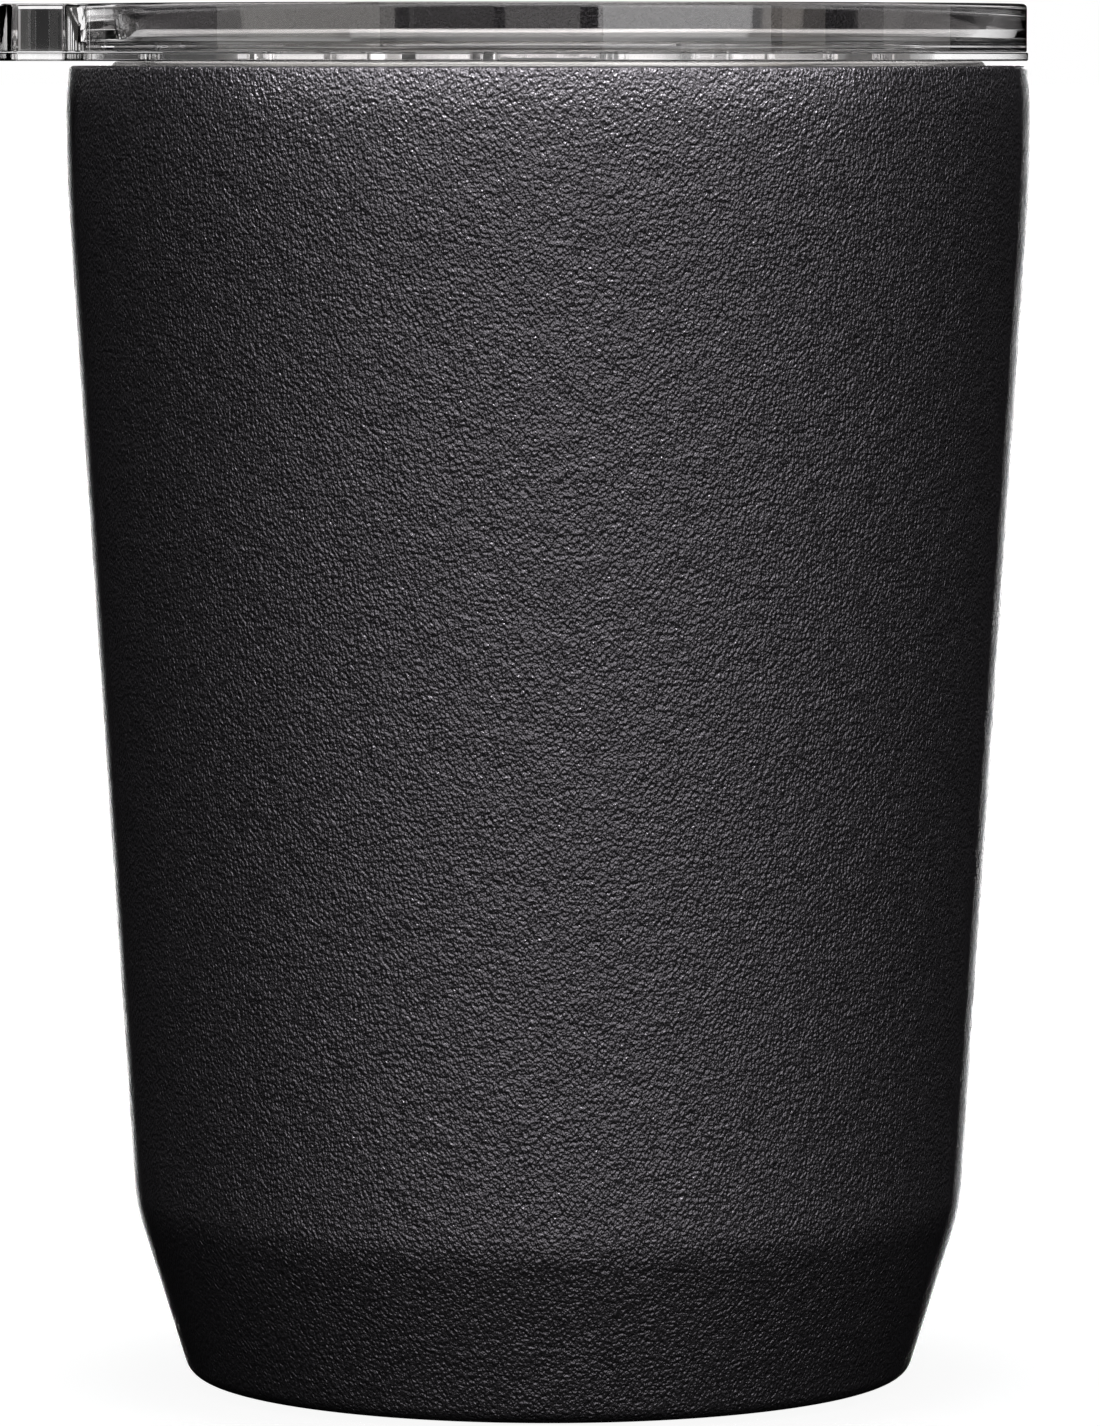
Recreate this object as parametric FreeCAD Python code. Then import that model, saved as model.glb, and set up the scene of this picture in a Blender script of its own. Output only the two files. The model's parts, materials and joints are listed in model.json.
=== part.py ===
"""Insulated tumbler with a press-in lid and a turning three-position selector.

A double-wall vacuum cup in stainless steel, powder coated outside, with a clear lid. The lid is two
mouldings welded together, sealed in the cup's mouth by a silicone gasket. A selector dial turns in a
well in the lid: closed as built, sip opening uncovered at +50 degrees, straw hole at -50 degrees.

Millimetres, +Z up, origin at the centre of the foot pad's underside. The lid's pull tab points to -X
and the sip opening to +X. Each piece is written to its own STEP file in parts/.
"""
import FreeCAD
import Part
import math
import os

V = FreeCAD.Vector

GAP = 0.02          # left between pieces that touch
OVERCUT = 1.0       # cutting tools reach this far past what they cut


# ---- helpers ----------------------------------------------------------------------------------
def rounded_wire(corners, flat=False):
    """A closed wire through corners (a, b) or (a, b, fillet radius).

    a lies along X; b lies along Z, or along Y when flat.
    """
    points = [V(a, b, 0) if flat else V(a, 0, b) for a, b, *_ in corners]
    spans = []      # for each corner: where its arc starts, its middle (None if sharp), its end
    for i, (point, (_, _, *fillet)) in enumerate(zip(points, corners)):
        radius = fillet[0] if fillet else 0.0
        if radius <= 0:
            spans.append((point, None, point))
            continue
        to_last = (points[i - 1] - point).normalize()
        to_next = (points[(i + 1) % len(points)] - point).normalize()
        bisector = (to_last + to_next).normalize()
        half_angle = math.acos(max(-1.0, min(1.0, to_last.dot(to_next)))) / 2
        tangent = radius / math.tan(half_angle)
        middle = point + bisector * (radius / math.sin(half_angle) - radius)
        spans.append((point + to_last * tangent, middle, point + to_next * tangent))
    edges = []
    for (start, middle, end), following in zip(spans, spans[1:] + spans[:1]):
        if middle is not None:
            edges.append(Part.Arc(start, middle, end).toShape())
        if (following[0] - end).Length > 1e-6:
            edges.append(Part.LineSegment(end, following[0]).toShape())
    return Part.Wire(Part.__sortEdges__(edges))


def revolve(corners):
    """A solid of revolution about Z from a closed outline of (r, z[, fillet])."""
    return Part.Face(rounded_wire(corners)).revolve(V(0, 0, 0), V(0, 0, 1), 360)


def offset_path(path, distance):
    """The open path of (r, z, fillet) moved to its left, with its fillets reduced to suit."""
    normals = []
    for (r0, z0, _), (r1, z1, _) in zip(path, path[1:]):
        normals.append(V(z0 - z1, 0, r1 - r0).normalize())
    moved = []
    for (r, z, fillet), before, after in zip(path, normals[:1] + normals, normals + normals[-1:]):
        shift = (before + after) * (distance / (1 + before.dot(after)))
        reduced = max(fillet - distance, 0.1) if fillet > 0 else 0.0
        moved.append((r + shift.x, z + shift.z, reduced))
    return moved


def prism(wire, z0, z1):
    """A wire in the XY plane, filled and extruded from z0 to z1."""
    face = Part.Face(wire)
    face.translate(V(0, 0, z0))
    return face.extrude(V(0, 0, z1 - z0))


def cylinder(radius, z0, z1, centre=V(0, 0, 0)):
    return Part.makeCylinder(radius, z1 - z0, centre + V(0, 0, z0))


def polar(radius, degrees):
    angle = math.radians(degrees)
    return V(radius * math.cos(angle), radius * math.sin(angle), 0)


def curved_slot(r0, r1, half_deg, centre_deg=0.0):
    """The wire of a slot along an arc about the origin, with round ends, in the XY plane."""
    mid_r, end_r = (r0 + r1) / 2, (r1 - r0) / 2
    deg0, deg1 = centre_deg - half_deg, centre_deg + half_deg
    tip0 = polar(mid_r, deg0) + polar(end_r, deg0 - 90)
    tip1 = polar(mid_r, deg1) + polar(end_r, deg1 + 90)
    arcs = [
        (polar(r1, deg0), polar(r1, centre_deg), polar(r1, deg1)),
        (polar(r1, deg1), tip1, polar(r0, deg1)),
        (polar(r0, deg1), polar(r0, centre_deg), polar(r0, deg0)),
        (polar(r0, deg0), tip0, polar(r1, deg0)),
    ]
    return Part.Wire([Part.Arc(*arc).toShape() for arc in arcs])


def edges_at(shape, z, tol=1e-4):
    """The edges that lie flat at height z."""
    return [e for e in shape.Edges
            if abs(e.BoundBox.ZMin - z) < tol and abs(e.BoundBox.ZMax - z) < tol]


def save(name, shape):
    if shape.ShapeType == "Compound" and len(shape.Solids) == 1:
        shape = shape.Solids[0]
    assert shape.isValid(), name
    assert all(solid.Volume > 0 for solid in shape.Solids), name
    shape.exportStep("parts/%s.step" % name)


# ---- cup, outside -----------------------------------------------------------------------------
FOOT_PROUD = 0.4            # the foot pad stands this far below the steel
BODY_TOP_Z = 115.0          # the coated shoulder, under the lid
BODY_MAX_R = 42.0           # widest, just below the shoulder
BASE_R = 31.53              # where the lower taper would meet the floor, before its rounding
BREAK_R, BREAK_Z = 36.245, 15.49    # the steep lower taper meets the long upper taper
SHOULDER_Z0, SHOULDER_Z1 = 105.7, 112.8
SHOULDER_R = 41.68          # the top outer corner, before its rounding
OUTER_T = 0.6               # outer wall sheet
BASE_HOLE_R = 27.4          # the ring left open for the closing plate
LIP_R = 38.0                # outside of the bare steel drinking lip

PLATE_UNDER_Z = 2.5         # underside of the closing plate's flat ring
PLATE_T = 0.6
PLATE_R = BASE_HOLE_R - 0.04
PLATE_CENTRE_Z = 3.2        # underside of its raised centre, round the evacuation hole

PAD_GAP = 0.01              # between pad, adhesive and plate
ADHESIVE_Z = 2.3
PAD_R = 26.6
PAD_TOP_Z = ADHESIVE_Z - PAD_GAP
PAD_GROOVES_R = (6.0, 13.0, 19.8)   # inner radius of each groove
PAD_GROOVE_W, PAD_GROOVE_DEPTH = 1.2, 0.5


def outer_wall():
    outside = [
        (BASE_HOLE_R, FOOT_PROUD, 0.0),
        (BASE_R, FOOT_PROUD, 1.8),
        (BREAK_R, BREAK_Z, 12.5),
        (BODY_MAX_R, SHOULDER_Z0, 167.0),
        (BODY_MAX_R, SHOULDER_Z1, 24.5),
        (SHOULDER_R, BODY_TOP_Z, 0.42),
        (LIP_R + GAP, BODY_TOP_Z, 0.0),
    ]
    inside = offset_path(outside, OUTER_T)
    return revolve(outside + inside[::-1])


def base_plate():
    """A pressed pan whose flange is welded into the outer wall's ring."""
    under, centre = PLATE_UNDER_Z, PLATE_CENTRE_Z
    return revolve([
        (1.0, centre), (4.4, centre, 0.4), (5.5, under, 0.4), (PLATE_R - PLATE_T, under, 0.5),
        (PLATE_R - PLATE_T, 0.55), (PLATE_R, 0.55), (PLATE_R, under + PLATE_T, 1.0),
        (5.7, under + PLATE_T, 0.6), (4.6, centre + PLATE_T, 0.6), (1.0, centre + PLATE_T)])


def vacuum_seal_bead():
    """The melted glass bead that closes the evacuation hole in the plate."""
    return revolve([
        (0, 2.62), (1.6, 2.72, 1.0), (2.6, PLATE_CENTRE_Z - GAP, 0.15),
        (1.0 - GAP, PLATE_CENTRE_Z - GAP), (1.0 - GAP, 3.86, 0.3), (0, 3.98)])


def foot_pad():
    """A silicone disc in the base recess, with shallow round grooves on its underside."""
    outline = [(0, 0)]
    for groove_r in PAD_GROOVES_R:
        outer_r = groove_r + PAD_GROOVE_W
        outline += [(groove_r, 0), (groove_r, PAD_GROOVE_DEPTH),
                    (outer_r, PAD_GROOVE_DEPTH), (outer_r, 0)]
    outline += [(PAD_R, 0, 0.5), (PAD_R, PAD_TOP_Z, 0.3), (6.3, PAD_TOP_Z), (5.9, 2.1), (0, 2.1)]
    return revolve(outline)


def pad_adhesive():
    """The ring of double-sided adhesive that holds the pad."""
    r0, r1 = 6.5, 26.2
    top_z = PLATE_UNDER_Z - PAD_GAP
    return revolve([(r0, ADHESIVE_Z), (r1, ADHESIVE_Z), (r1, top_z), (r0, top_z)])


# ---- cup, inside ------------------------------------------------------------------------------
MOUTH_R = 36.9              # straight bore at the mouth, where the gasket seals
LIP_Z = 115.4
LINER_T = 0.5
MOUTH_STRAIGHT_Z = 104.0    # the liner is a plain cylinder above this
MOUTH_BLEND_R = 80.0        # rounding between taper and cylinder
LINER_SEAM_Z, LINER_SEAM_R = 17.0, 31.35    # welded seam between liner wall and liner bottom
LINER_SLOPE = (MOUTH_R - LINER_SEAM_R) / (MOUTH_STRAIGHT_Z - LINER_SEAM_Z)
FLOOR_Z = 9.4               # inside floor of the cup
FLOOR_RISE = 0.5            # height of the raised disc in the floor
FOIL_T, FOIL_GAP = 0.15, 0.25
FOIL_Z0, FOIL_Z1 = 24.0, 100.0
GETTER_X = 20.0
GETTER_TOP_Z = FLOOR_Z - LINER_T - GAP


def liner_wall():
    outer_r = MOUTH_R + LINER_T
    return revolve([
        (LINER_SEAM_R, LINER_SEAM_Z), (MOUTH_R, MOUTH_STRAIGHT_Z, MOUTH_BLEND_R),
        (MOUTH_R, LIP_Z, 0.53), (LIP_R, LIP_Z, 0.53), (LIP_R, 114.1, 0.4), (outer_r, 113.3, 0.6),
        (outer_r, MOUTH_STRAIGHT_Z, MOUTH_BLEND_R), (LINER_SEAM_R + LINER_T, LINER_SEAM_Z)])


def liner_bottom():
    """A pressed cup that closes the liner, with a shallow raised disc in its floor."""
    top_z, under_z = LINER_SEAM_Z - GAP, FLOOR_Z - LINER_T
    inner_r, outer_r = LINER_SEAM_R, LINER_SEAM_R + LINER_T
    taper = LINER_SLOPE * (top_z - FLOOR_Z)
    return revolve([
        (0, FLOOR_Z + FLOOR_RISE), (13.2, FLOOR_Z + FLOOR_RISE, 1.2), (14.4, FLOOR_Z, 1.2),
        (inner_r - taper, FLOOR_Z, 6.0), (inner_r, top_z), (outer_r, top_z),
        (outer_r - taper, under_z, 6.5), (14.3, under_z, 1.2),
        (13.1, under_z + FLOOR_RISE, 1.2), (0, under_z + FLOOR_RISE)])


def reflective_foil():
    """One turn of bright foil round the liner, in the vacuum."""
    r0, r1 = [LINER_SEAM_R + LINER_T + LINER_SLOPE * (z - LINER_SEAM_Z) + FOIL_GAP
              for z in (FOIL_Z0, FOIL_Z1)]
    return revolve([(r0, FOIL_Z0), (r1, FOIL_Z1), (r1 + FOIL_T, FOIL_Z1), (r0 + FOIL_T, FOIL_Z0)])


def getter_part(corners):
    """A revolved part of the getter: corners of (r, depth below its top[, fillet])."""
    part = revolve([(r, GETTER_TOP_Z - depth, *fillet) for r, depth, *fillet in corners])
    part.translate(V(GETTER_X, 0, 0))
    return part


def getter_clip():
    """A small steel cup, spot-welded by its brim under the liner floor."""
    return getter_part([
        (3.4, 2.6), (4.7, 2.6, 0.4), (4.7, 0.3), (6.2, 0.3),
        (6.2, 0), (4.4, 0), (4.4, 2.3, 0.2), (3.4, 2.3)])


def getter_pellet():
    return getter_part([(0, 2.28), (4.35, 2.28, 0.25), (4.35, 0.35, 0.25), (0, 0.35)])


# ---- openings in the deck, and their seals ----------------------------------------------------
DECK_Z = 116.2              # bottom of the well
DIAL_UNDER_Z = 116.6
STEP_DEG = 50.0             # from closed to either open position
SIP_R0, SIP_R1, SIP_HALF_DEG = 23.8, 28.0, 15.0
STRAW_R, STRAW_AT_R = 4.0, 22.0
VENT_R, VENT_AT_R = 0.8, 18.0
SEAL_BED_Z = 115.5
SEAL_Z0, SEAL_Z1 = SEAL_BED_Z + 0.01, DIAL_UNDER_Z - GAP


# Each opening is a solid, grown all round by grow and turned about Z by turn degrees.
def sip_opening(z0, z1, grow=0.0, turn=0.0):
    return prism(curved_slot(SIP_R0 - grow, SIP_R1 + grow, SIP_HALF_DEG, turn), z0, z1)


def straw_opening(z0, z1, grow=0.0, turn=0.0):
    return cylinder(STRAW_R + grow, z0, z1, polar(STRAW_AT_R, 180.0 + turn))


def vent_opening(z0, z1, grow=0.0, turn=0.0):
    return cylinder(VENT_R + grow, z0, z1, polar(VENT_AT_R, turn))


# name: opening, distance from opening to seal, seal width, rounding of the top edges
SEALS = {
    "sip_seal": (sip_opening, 0.95, 1.5, 0.35),
    "straw_seal": (straw_opening, 0.95, 1.5, 0.35),
    "vent_seal": (vent_opening, 0.6, 1.0, 0.3),
}


def ring_round(opening, inner, outer, z0, z1):
    """A ring round an opening, between two distances from the opening's edge."""
    return opening(z0, z1, outer).cut(opening(z0 - OVERCUT, z1 + OVERCUT, inner))


def seal(opening, distance, width, rounding):
    ring = ring_round(opening, distance, distance + width, SEAL_Z0, SEAL_Z1)
    return ring.makeFillet(rounding, edges_at(ring, SEAL_Z1))


# ---- lid --------------------------------------------------------------------------------------
LID_R = 41.6                # rim of the upper moulding
LID_TOP_Z = 120.35
PART_LINE_Z = 116.17        # underside of the upper moulding's rim
TAB_TIP_X = -47.4
TAB_HALF_W = 11.0
TAB_CORNER_R = 4.0
TAB_ROOT_R = 3.0
RIM_IN_R = 40.25            # inside of the raised rim, at its top
RIM_BEND_R, RIM_BEND_Z = 38.0, 118.1        # where the rim's sloping inside changes slope
RIM_FOOT_R = 36.75          # foot of that slope
LEDGE_Z = 117.0             # floor of the recess inside the rim
RIM_ROUND = 0.4             # rounding of the rim's two top edges
EDGE_ROUND = 0.15           # rounding of both mouldings' lower outer edges
MARK_AT_R = 34.3            # the raised position marks sit on the ledge
MARK_Z0, MARK_Z1 = LEDGE_Z - 0.1, LEDGE_Z + 0.25
WELL_R = 32.2               # the selector turns in this well
DECK_UNDER_Z = 114.2
SPIGOT_R = 33.6             # the upper moulding's spigot inside the plug
PIVOT_R = 4.5
BOSS_R, BOSS_UNDER_Z = 7.2, 113.0
STOP_AT_R, STOP_R = 13.0, 1.2       # the dial's stop lug
STOP_CLEAR, STOP_CLEAR_DEG = 0.15, 0.3
STOP_TRACK_Z = 115.3

FLANGE_UNDER_Z = 115.42
FLANGE_TOP_Z = 116.14
FLANGE_STEP = 0.12          # the lower flange stands this far outside the rim
PLUG_R, PLUG_IN_R = 36.2, 33.65
PLUG_BOTTOM_Z = 105.4
GROOVE_R = 35.0
GROOVE_Z0, GROOVE_Z1 = 108.8, 113.8
GASKET_FIN_R = 36.86
FIN_COUNT, FIN_PITCH = 3, 1.5


def lid_outline(grow=0.0):
    """The lid seen from above: a circle with a rounded pull tab at -X, in the XY plane."""
    rim_r = LID_R + grow
    half_w = TAB_HALF_W + grow
    corner_r = TAB_CORNER_R + grow
    root_r = TAB_ROOT_R - grow
    tip_x = TAB_TIP_X - grow
    # centre of the root fillet, and the point where it meets the rim
    root_y = half_w + root_r
    root_x = -math.sqrt((rim_r + root_r) ** 2 - root_y ** 2)
    scale = rim_r / (rim_r + root_r)
    meet_x, meet_y = root_x * scale, root_y * scale
    mid_angle = (-math.pi / 2 + math.atan2(-root_y, -root_x)) / 2
    mid_x = root_x + root_r * math.cos(mid_angle)
    mid_y = root_y + root_r * math.sin(mid_angle)
    corner_x, corner_y = tip_x + corner_r, half_w - corner_r
    diagonal = corner_r * math.sqrt(0.5)

    edges = [Part.Arc(V(meet_x, meet_y, 0), V(rim_r, 0, 0), V(meet_x, -meet_y, 0)).toShape()]
    for side in (1, -1):
        root_end = V(root_x, side * half_w, 0)
        corner_start = V(corner_x, side * half_w, 0)
        corner_mid = V(corner_x - diagonal, side * (corner_y + diagonal), 0)
        corner_end = V(tip_x, side * corner_y, 0)
        edges += [
            Part.Arc(V(meet_x, side * meet_y, 0), V(mid_x, side * mid_y, 0), root_end).toShape(),
            Part.LineSegment(root_end, corner_start).toShape(),
            Part.Arc(corner_start, corner_mid, corner_end).toShape(),
        ]
    edges.append(Part.LineSegment(V(tip_x, corner_y, 0), V(tip_x, -corner_y, 0)).toShape())
    return Part.Wire(Part.__sortEdges__(edges))


def position_marks():
    """Raised marks on the ledge: a dot for closed, a short slot for sip, a ring for straw."""
    straw_at = polar(MARK_AT_R, -STEP_DEG)
    sip_slot = curved_slot(MARK_AT_R - 0.7, MARK_AT_R + 0.7, 2.6, STEP_DEG)
    hole = cylinder(0.65, MARK_Z0 - OVERCUT, MARK_Z1 + OVERCUT, straw_at)
    return [
        cylinder(0.9, MARK_Z0, MARK_Z1, polar(MARK_AT_R, 0.0)),
        prism(sip_slot, MARK_Z0, MARK_Z1),
        cylinder(1.25, MARK_Z0, MARK_Z1, straw_at).cut(hole),
    ]


def lid_top():
    """The upper moulding: rim, pull tab, recess, well and deck."""
    top = prism(lid_outline(), PART_LINE_Z, LID_TOP_Z)
    top = top.makeFillet(RIM_ROUND, edges_at(top, LID_TOP_Z))
    top = top.makeFillet(EDGE_ROUND, edges_at(top, PART_LINE_Z))
    top = top.fuse(cylinder(SPIGOT_R, DECK_UNDER_Z, PART_LINE_Z))
    top = top.fuse(cylinder(BOSS_R, BOSS_UNDER_Z, DECK_UNDER_Z))

    # the rim's inside slopes down in two steps to the ledge, and the well is sunk in the ledge
    top = top.cut(revolve([
        (0, DECK_Z), (WELL_R, DECK_Z, 0.4), (WELL_R, LEDGE_Z, 0.3), (RIM_FOOT_R, LEDGE_Z, 0.4),
        (RIM_BEND_R, RIM_BEND_Z, 1.5), (RIM_IN_R, LID_TOP_Z, RIM_ROUND),
        (RIM_IN_R + 0.5, LID_TOP_Z), (RIM_IN_R + 0.5, LID_TOP_Z + OVERCUT),
        (0, LID_TOP_Z + OVERCUT)]))

    cut_top_z = DECK_Z + OVERCUT
    for opening in (sip_opening, straw_opening, vent_opening):
        top = top.cut(opening(DECK_UNDER_Z - OVERCUT, cut_top_z))
    top = top.cut(cylinder(PIVOT_R, BOSS_UNDER_Z - OVERCUT, cut_top_z))
    # beds for the seals
    for opening, distance, width, _ in SEALS.values():
        bed = ring_round(opening, distance - GAP, distance + width + GAP, SEAL_BED_Z, cut_top_z)
        top = top.cut(bed)
    # a blind arc that the dial's stop lug runs in
    track_half_w = STOP_R + STOP_CLEAR
    track = curved_slot(STOP_AT_R - track_half_w, STOP_AT_R + track_half_w,
                        STEP_DEG + STOP_CLEAR_DEG, 90.0)
    top = top.cut(prism(track, STOP_TRACK_Z, cut_top_z))
    for mark in position_marks():
        top = top.fuse(mark)
    return top.removeSplitter()


def lid_plug():
    """The lower moulding: flange under the rim, and the plug with its gasket groove."""
    flange = prism(lid_outline(FLANGE_STEP), FLANGE_UNDER_Z, FLANGE_TOP_Z)
    flange = flange.makeFillet(EDGE_ROUND, edges_at(flange, FLANGE_UNDER_Z))
    flange = flange.makeFillet(0.12, edges_at(flange, FLANGE_TOP_Z))
    skirt_top_z = FLANGE_UNDER_Z + 0.3      # runs up into the flange
    skirt = revolve([
        (PLUG_IN_R, PLUG_BOTTOM_Z), (PLUG_R - 1.3, PLUG_BOTTOM_Z, 0.5),
        (PLUG_R, PLUG_BOTTOM_Z + 2.0, 0.5), (PLUG_R, GROOVE_Z0), (GROOVE_R, GROOVE_Z0, 0.2),
        (GROOVE_R, GROOVE_Z1, 0.2), (PLUG_R, GROOVE_Z1), (PLUG_R, skirt_top_z),
        (PLUG_IN_R, skirt_top_z)])
    bore = cylinder(PLUG_IN_R, PLUG_BOTTOM_Z - OVERCUT, FLANGE_TOP_Z + OVERCUT)
    return flange.fuse(skirt).cut(bore).removeSplitter()


def lid_gasket():
    """A band in the groove with fins that wipe the cup's mouth."""
    inner_r, band_r = GROOVE_R + GAP, PLUG_R - 0.1
    z0, z1 = GROOVE_Z0 + 0.05, GROOVE_Z1 - 0.05
    outline = [(inner_r, z0, 0.25), (band_r, z0, 0.15)]
    for i in range(FIN_COUNT):
        fin_z = z0 + 0.5 + i * FIN_PITCH
        outline += [(band_r, fin_z, 0.2), (GASKET_FIN_R, fin_z + 0.55, 0.15),
                    (GASKET_FIN_R, fin_z + 0.85, 0.15), (band_r, fin_z + 0.95, 0.2)]
    outline += [(band_r, z1, 0.15), (inner_r, z1, 0.25)]
    return revolve(outline)


# ---- selector ---------------------------------------------------------------------------------
DIAL_R, DIAL_TOP_Z = 31.9, 118.5
STEM_R = 4.42
STEM_GROOVE_R, STEM_GROOVE_Z0, STEM_GROOVE_Z1 = 3.4, 114.5, 115.8
O_RING_SECTION_R = 0.525
GRIP_HALF_L, GRIP_HALF_W, GRIP_TOP_Z = 27.0, 3.0, 119.95
GRIP_END_R = 2.95
WASHER_R0, WASHER_R1, WASHER_T = 4.6, 7.0, 0.6
WASHER_Z1 = BOSS_UNDER_Z - GAP
WASHER_Z0 = WASHER_Z1 - WASHER_T
CAP_FLOOR_Z = WASHER_Z0 - GAP       # top of the cap's floor
SPLIT_W, SPLIT_L, SPLIT_H = 1.2, 9.0, 2.4


def selector_dial():
    """The dial with its grip, stem and stop lug."""
    floor = CAP_FLOOR_Z
    dial = revolve([
        (0, floor - 2.0), (2.6, floor - 2.0), (3.6, floor - 1.0), (3.6, floor - 0.7),
        (3.0, floor - 0.7), (3.0, floor + 0.04), (STEM_R, floor + 0.04),
        (STEM_R, STEM_GROOVE_Z0), (STEM_GROOVE_R, STEM_GROOVE_Z0),
        (STEM_GROOVE_R, STEM_GROOVE_Z1), (STEM_R, STEM_GROOVE_Z1), (STEM_R, DIAL_UNDER_Z),
        (DIAL_R, DIAL_UNDER_Z, 0.2), (DIAL_R, DIAL_TOP_Z, 0.35), (0, DIAL_TOP_Z)])
    grip_plan = [(x * GRIP_HALF_L, y * GRIP_HALF_W, GRIP_END_R)
                 for x, y in ((-1, -1), (1, -1), (1, 1), (-1, 1))]
    grip = prism(rounded_wire(grip_plan, flat=True), DIAL_TOP_Z - 0.2, GRIP_TOP_Z)
    grip = grip.makeFillet(0.7, edges_at(grip, GRIP_TOP_Z))
    lug = cylinder(STOP_R, STOP_TRACK_Z + STOP_CLEAR, DIAL_UNDER_Z + 0.2, V(0, STOP_AT_R, 0))
    dial = dial.fuse(grip).fuse(lug)

    # each hole is set back by the turn that brings it over its opening in the deck
    for opening, grow, turn in (
            (sip_opening, 0.2, -STEP_DEG),
            (straw_opening, 0.4, STEP_DEG),
            (vent_opening, 0.2, -STEP_DEG)):
        dial = dial.cut(opening(DIAL_UNDER_Z - OVERCUT, DIAL_TOP_Z + OVERCUT, grow, turn))
    # the stem's end is split so that its barb can pass the cap
    split_corner = V(-SPLIT_W / 2, -SPLIT_L / 2, floor - 2.1)
    dial = dial.cut(Part.makeBox(SPLIT_W, SPLIT_L, SPLIT_H, split_corner))
    return dial.removeSplitter()


def pivot_o_ring():
    """The o-ring in the stem's groove, against the pivot bore."""
    ring_r = STEM_GROOVE_R + GAP + O_RING_SECTION_R
    mid_z = (STEM_GROOVE_Z0 + STEM_GROOVE_Z1) / 2
    return Part.makeTorus(ring_r, O_RING_SECTION_R, V(0, 0, mid_z), V(0, 0, 1))


def tension_washer():
    """Elastic washer between boss and cap: it draws the dial down onto its seals."""
    return revolve([
        (WASHER_R0, WASHER_Z0), (WASHER_R1, WASHER_Z0, 0.15),
        (WASHER_R1, WASHER_Z1, 0.15), (WASHER_R0, WASHER_Z1)])


def pivot_cap():
    """The cap that snaps over the barb, under the boss."""
    floor, top_z = CAP_FLOOR_Z, 114.0
    return revolve([
        (3.05, floor - 0.66), (5.2, floor - 0.66), (7.6, floor - 0.85, 0.4),
        (7.9, floor - 0.3, 0.3), (7.9, top_z, 0.25), (7.35, top_z, 0.2),
        (7.35, floor), (3.05, floor)])


# ---- write the pieces -------------------------------------------------------------------------
os.makedirs("parts", exist_ok=True)
for piece in (
        outer_wall, base_plate, vacuum_seal_bead, foot_pad, pad_adhesive,
        liner_wall, liner_bottom, reflective_foil, getter_clip, getter_pellet,
        lid_top, lid_plug, lid_gasket,
        selector_dial, pivot_o_ring, tension_washer, pivot_cap):
    save(piece.__name__, piece())
for seal_name, seal_sizes in SEALS.items():
    save(seal_name, seal(*seal_sizes))
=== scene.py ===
"""A double-walled steel cup with a clear lid and a turning selector dial.

The cup stands upright on the floor with its axis on Z. The camera looks along +Y, so the
front is -Y and +X is on the right. The lid's tab points to -X. Dimensions are in
millimetres and meshes are built in metres.
"""
import json
import math

import bpy
import numpy as np
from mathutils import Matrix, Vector
from mathutils.geometry import tessellate_polygon

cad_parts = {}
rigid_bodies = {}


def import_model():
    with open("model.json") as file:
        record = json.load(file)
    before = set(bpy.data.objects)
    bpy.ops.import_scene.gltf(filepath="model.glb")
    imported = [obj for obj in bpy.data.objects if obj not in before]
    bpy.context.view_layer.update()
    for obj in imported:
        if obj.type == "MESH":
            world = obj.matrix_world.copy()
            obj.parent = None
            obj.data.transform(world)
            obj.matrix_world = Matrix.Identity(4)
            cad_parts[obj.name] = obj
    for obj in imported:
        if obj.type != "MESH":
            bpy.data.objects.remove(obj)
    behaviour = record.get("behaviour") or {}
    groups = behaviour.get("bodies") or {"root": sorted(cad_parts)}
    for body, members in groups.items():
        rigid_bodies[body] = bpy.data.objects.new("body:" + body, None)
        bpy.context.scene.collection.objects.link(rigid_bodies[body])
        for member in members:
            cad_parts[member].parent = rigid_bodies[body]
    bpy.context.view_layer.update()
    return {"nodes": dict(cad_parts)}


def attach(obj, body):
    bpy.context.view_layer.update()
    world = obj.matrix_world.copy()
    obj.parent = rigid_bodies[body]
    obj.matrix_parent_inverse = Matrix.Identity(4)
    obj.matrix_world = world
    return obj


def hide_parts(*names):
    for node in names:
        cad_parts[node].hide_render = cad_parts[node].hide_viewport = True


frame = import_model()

MM = 0.001
scene = bpy.context.scene

# ==========================================================================================
# dimensions in millimetres, angles in degrees
# ==========================================================================================
ROUND_STEPS = 256               # points round a full turn, unless a piece sets its own

# cup
FOOT_PROUD = 0.4                # the foot pad stands below the shell by this much
BODY_TOP_Z = 115.0
BASE_HOLE_R = 27.4
OUTER_T = 0.6
MOUTH_R, LIP_R, LIP_Z, LINER_T = 36.9, 38.0, 115.4, 0.5
MOUTH_STRAIGHT_Z = 104.0
LINER_SEAM_Z, LINER_SEAM_R = 17.0, 31.35
LINER_SLOPE = 0.0638            # radius gained per height near the floor
FLOOR_Z = 9.4

# lid, lower moulding
FLANGE_UNDER_Z, FLANGE_TOP_Z = LIP_Z + 0.02, 116.14
FLANGE_STEP = 0.12              # the flange reaches past the upper moulding
PLUG_R, PLUG_IN_R, PLUG_BOTTOM_Z = 36.2, 33.65, 105.4
GROOVE_R, GROOVE_Z0 = 35.0, 108.8
GROOVE_Z1 = GROOVE_Z0 + 5.0
GASKET_FIN_R = MOUTH_R - 0.04

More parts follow.
